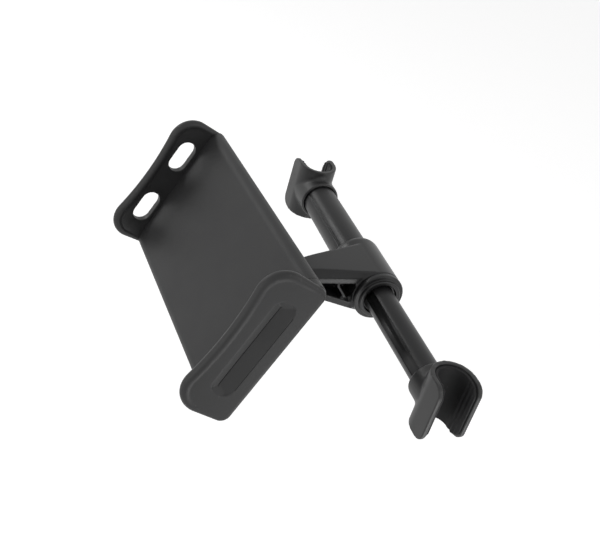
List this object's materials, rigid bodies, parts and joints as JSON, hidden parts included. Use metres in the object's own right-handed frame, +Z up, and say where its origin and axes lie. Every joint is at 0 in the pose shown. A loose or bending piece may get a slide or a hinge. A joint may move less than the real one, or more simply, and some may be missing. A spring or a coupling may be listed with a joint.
{
  "type": "car headrest phone holder",
  "caption": "Rear-seat phone and tablet holder: a sprung telescopic bar grips two headrest posts, and an arm on a ball joint carries a cradle with a sprung jaw.",
  "frame": {"origin": "on the axis of the fixed hook's channel, where the first headrest post runs, at the height of the bar's axis", "axes": "+X along the bar to the sliding hook, +Z up along the headrest posts, and the cradle faces the rear passenger towards -Y"},
  "size_m": [0.1773, 0.1155, 0.0719],
  "materials": {
    "bar_plastic": "satin black moulded plastic",
    "hub_plastic": "smooth satin black moulded plastic",
    "hook_plastic": "matte black moulded plastic",
    "liner_rubber": "soft matte black rubber",
    "nut_plastic": "matte black moulded plastic",
    "cover_plastic": "fine spark-eroded matte black plastic",
    "jaw_plastic": "matte black moulded plastic",
    "bearing_plastic": "natural acetal",
    "steel": "zinc-plated steel"
  },
  "bodies": {
    "bar": {"outer_tube": "bar_plastic", "tube_collar": "hub_plastic", "fixed_hook": "hook_plastic", "fixed_hook_pad": "liner_rubber", "fixed_hook_screw": "steel", "bar_spring": "steel"},
    "rod": {"inner_rod": "bar_plastic", "rod_guide": "bearing_plastic", "sliding_hook": "hook_plastic", "sliding_hook_pad": "liner_rubber", "sliding_hook_screw": "steel"},
    "arm": {"arm": "hub_plastic", "friction_bush": "hub_plastic"},
    "nut": {"lock_nut": "nut_plastic"},
    "cradle": {"ball_socket": "nut_plastic", "socket_screws": "steel", "rear_cover": "cover_plastic", "front_cover": "cover_plastic", "cover_screws": "steel", "fixed_jaw": "jaw_plastic"},
    "jaw": {"sliding_jaw": "jaw_plastic", "jaw_spring_upper": "steel", "jaw_spring_lower": "steel"}
  },
  "joints": [
    {"name": "rod_slide", "type": "slide", "parent": "bar", "child": "rod", "axis": [1, 0, 0], "range_m": [-0.035, 0], "stiffness_N_per_m": 350, "springref_m": 0.012, "deforming": ["bar_spring"]},
    {"name": "arm_turn", "type": "hinge", "parent": "bar", "child": "arm", "pos_m": [0.07705, 0, 0], "axis": [1, 0, 0], "continuous": true},
    {"name": "cradle_tilt", "type": "hinge", "parent": "arm", "child": "nut", "pos_m": [0.08245, -0.055, 0], "axis": [1, 0, 0], "range_deg": [-6, 58]},
    {"name": "cradle_spin", "type": "hinge", "parent": "nut", "child": "cradle", "pos_m": [0.08245, -0.055, 0], "axis": [0, -0.8988, 0.4384], "continuous": true},
    {"name": "jaw_slide", "type": "slide", "parent": "cradle", "child": "jaw", "axis": [0.9979, 0.0283, 0.058], "range_m": [0, 0.06], "stiffness_N_per_m": 90, "springref_m": -0.03, "deforming": ["jaw_spring_upper", "jaw_spring_lower"]}
  ]
}
